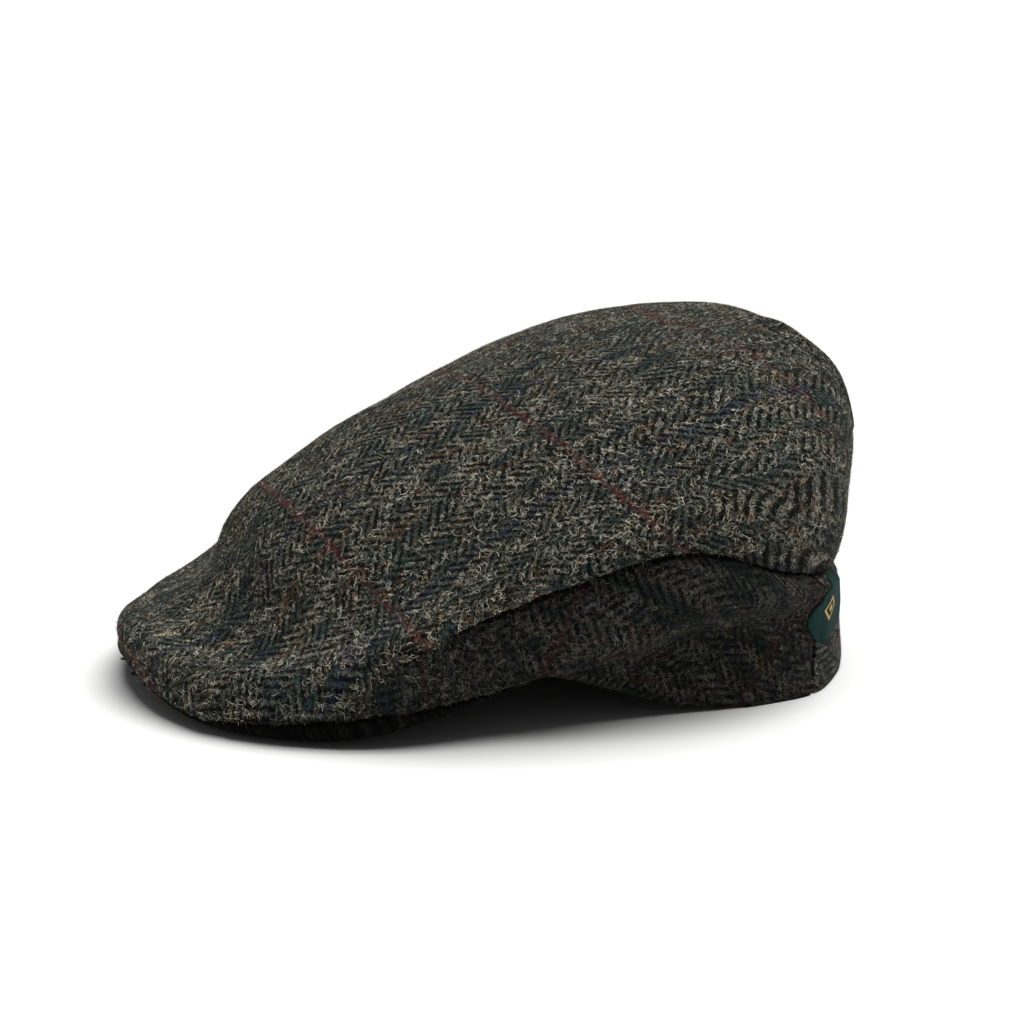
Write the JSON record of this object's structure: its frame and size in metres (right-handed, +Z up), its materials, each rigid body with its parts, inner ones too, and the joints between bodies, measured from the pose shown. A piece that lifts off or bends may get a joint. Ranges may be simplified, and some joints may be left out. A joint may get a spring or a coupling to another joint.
{
  "type": "flat cap",
  "caption": "Herringbone tweed flat cap with a full rounded crown drawn down over a stiff curved peak, folded side panels, an open head hollow and a small cloth label over the rear left seam.",
  "frame": {"origin": "middle of the box round the cap, at the surface that it stands on", "axes": "+Z up, the peak points along -Y, the wearer's left is +X"},
  "size_m": [0.2134, 0.2714, 0.1242],
  "materials": {
    "tweed": "thick herringbone wool tweed with a faint coloured windowpane",
    "peak_cloth": "the same tweed, darker on the peak's edge and underside",
    "label_cloth": "plain woven green label cloth"
  },
  "bodies": {
    "root": {"top_panel": "tweed", "side_panel_left": "tweed", "side_panel_right": "tweed", "back_panel": "tweed", "peak": "peak_cloth", "label": "label_cloth"}
  },
  "joints": []
}
